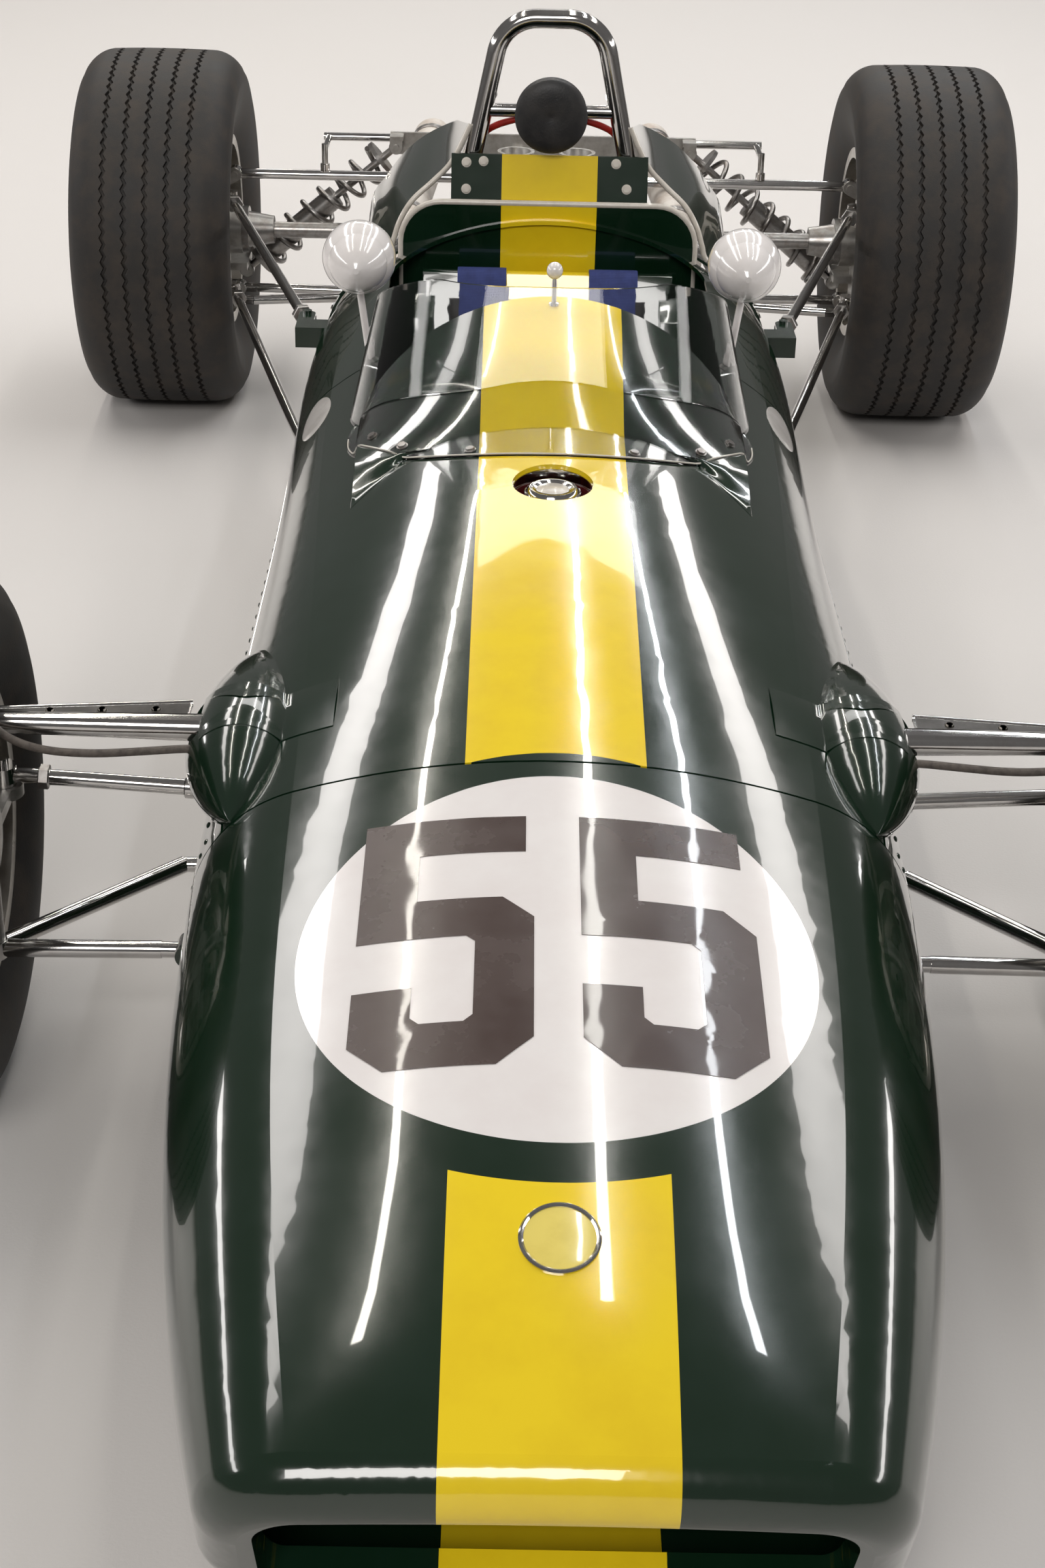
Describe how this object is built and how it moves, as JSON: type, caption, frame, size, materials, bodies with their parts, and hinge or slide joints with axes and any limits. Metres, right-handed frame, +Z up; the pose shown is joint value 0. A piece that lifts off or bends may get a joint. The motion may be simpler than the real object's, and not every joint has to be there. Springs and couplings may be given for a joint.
{
  "type": "open wheel racing car",
  "caption": "Single-seat open wheel racing car: riveted tub and nose, wrap-round screen, roll hoop, vee engine behind the driver, rocker front suspension, wide grooved tyres.",
  "frame": {"origin": "on the ground under the middle of the car's box", "axes": "+Z up, +Y towards the tail, so the nose points to -Y, +X towards the driver's left"},
  "size_m": [1.7324, 3.6948, 0.9149],
  "materials": {
    "alloy": "satin",
    "black_paint": "satin",
    "black_trim": "satin",
    "blue_webbing": "woven",
    "chrome": "polished",
    "clear_screen": "gloss",
    "green_paint": "gloss",
    "iron": "machined",
    "pale_pipe": "satin",
    "red_trim": "satin",
    "rubber_tyre": "matt",
    "steel": "satin",
    "wheel_alloy": "cast",
    "white_paint": "gloss"
  },
  "bodies": {
    "chassis": {"anti_roll_bar": "chrome", "cam_covers": "alloy", "cross_frame": "black_paint", "engine": "alloy", "engine_cowls": "green_paint", "exhaust_left": "pale_pipe", "exhaust_right": "pale_pipe", "filler_cap": "chrome", "front_dampers": "steel", "front_rockers": "chrome", "front_wishbones": "chrome", "gearbox": "alloy", "halfshafts": "steel", "harness": "blue_webbing", "head_pad": "black_trim", "headrest_panel": "black_paint", "instrument_panel": "black_paint", "intake_trumpets": "alloy", "mirror_left": "white_paint", "mirror_right": "white_paint", "nose_cone": "green_paint", "rack_housing": "alloy", "radiator": "black_paint", "radius_rods": "chrome", "rear_dampers": "steel", "rear_top_links": "chrome", "rear_uprights": "alloy", "rear_wishbones": "chrome", "roll_hoop": "chrome", "scuttle": "green_paint", "seat": "red_trim", "tub": "green_paint", "windscreen": "clear_screen"},
    "knuckle_left": {"front_upright_left": "alloy"},
    "knuckle_right": {"front_upright_right": "alloy"},
    "rack": {"track_rods": "chrome"},
    "steering_column": {"steering_wheel": "black_trim"},
    "wheel_front_left": {"tyre_front_left": "rubber_tyre", "rim_front_left": "wheel_alloy", "brake_disc_front_left": "iron"},
    "wheel_front_right": {"tyre_front_right": "rubber_tyre", "rim_front_right": "wheel_alloy", "brake_disc_front_right": "iron"},
    "wheel_rear_left": {"tyre_rear_left": "rubber_tyre", "rim_rear_left": "wheel_alloy", "brake_disc_rear_left": "iron"},
    "wheel_rear_right": {"tyre_rear_right": "rubber_tyre", "rim_rear_right": "wheel_alloy", "brake_disc_rear_right": "iron"}
  },
  "joints": [
    {"name": "steer_left", "type": "hinge", "parent": "chassis", "child": "knuckle_left", "pos_m": [0.608, -0.91, 0.3], "axis": [0, 0, 1], "range_deg": [-20, 20]},
    {"name": "steer_right", "type": "hinge", "parent": "chassis", "child": "knuckle_right", "pos_m": [-0.608, -0.91, 0.3], "axis": [0, 0, 1], "range_deg": [-20, 20]},
    {"name": "rack_slide", "type": "slide", "parent": "chassis", "child": "rack", "axis": [1, 0, 0], "range_m": [-0.042, 0.042]},
    {"name": "steering_wheel_turn", "type": "hinge", "parent": "chassis", "child": "steering_column", "pos_m": [0, -0.03, 0.5], "axis": [0, 0.9684, 0.2495], "range_deg": [-241, 241]},
    {"name": "spin_front_left", "type": "hinge", "parent": "knuckle_left", "child": "wheel_front_left", "pos_m": [0.71, -0.91, 0.3], "axis": [1, 0, 0], "continuous": true},
    {"name": "spin_front_right", "type": "hinge", "parent": "knuckle_right", "child": "wheel_front_right", "pos_m": [-0.71, -0.91, 0.3], "axis": [1, 0, 0], "continuous": true},
    {"name": "spin_rear_left", "type": "hinge", "parent": "chassis", "child": "wheel_rear_left", "pos_m": [0.72, 1.43, 0.332], "axis": [1, 0, 0], "continuous": true},
    {"name": "spin_rear_right", "type": "hinge", "parent": "chassis", "child": "wheel_rear_right", "pos_m": [-0.72, 1.43, 0.332], "axis": [1, 0, 0], "continuous": true}
  ],
  "couplings": [
    {"joint": "steer_right", "follows": "steer_left", "ratio": 1},
    {"joint": "rack_slide", "follows": "steer_left", "m_per_rad": -0.1176},
    {"joint": "steering_wheel_turn", "follows": "steer_left", "ratio": 12}
  ]
}
